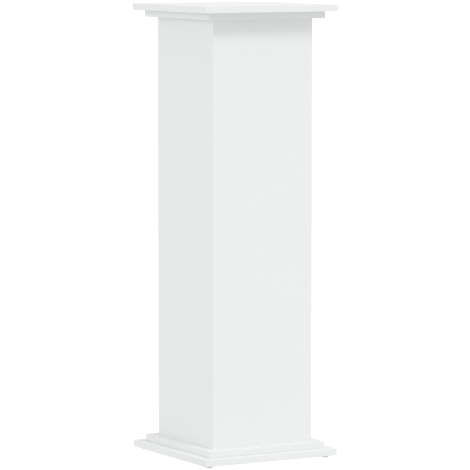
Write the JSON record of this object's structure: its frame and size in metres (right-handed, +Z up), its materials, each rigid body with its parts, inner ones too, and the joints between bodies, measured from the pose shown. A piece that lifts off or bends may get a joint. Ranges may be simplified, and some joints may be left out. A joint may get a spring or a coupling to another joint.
{
  "type": "display plinth",
  "caption": "Tall square hollow column of white-faced boards, with a stepped base and a matching stepped top, standing on small glides.",
  "frame": {"origin": "on the floor, under the middle of the column", "axes": "+Z up along the column, -Y out of the front, -X out of the left side"},
  "size_m": [0.332, 0.332, 1],
  "materials": {
    "faced_board": "satin white facing on engineered board",
    "edging": "satin white",
    "bare_board": "raw engineered board",
    "glide": "moulded, smooth",
    "beech": "raw",
    "plated_steel": "bright zinc plating",
    "cast_zinc": "as cast"
  },
  "bodies": {
    "root": {"top_board": "faced_board", "top_board_edging": "edging", "top_collar": "faced_board", "top_collar_edging": "edging", "front_panel": "faced_board", "front_panel_edging": "edging", "back_panel": "faced_board", "back_panel_edging": "edging", "left_panel": "faced_board", "right_panel": "faced_board", "inner_brace": "bare_board", "base_collar": "faced_board", "base_collar_edging": "edging", "base_board": "faced_board", "base_board_edging": "edging", "front_left_glide": "glide", "front_right_glide": "glide", "back_left_glide": "glide", "back_right_glide": "glide", "glide_nails": "plated_steel", "panel_dowels": "beech", "brace_dowels": "beech", "top_dowels": "beech", "base_dowels": "beech", "cam_bolts": "plated_steel", "cam_locks": "cast_zinc", "top_screws": "plated_steel", "base_screws": "plated_steel", "column_screws": "plated_steel"}
  },
  "joints": []
}
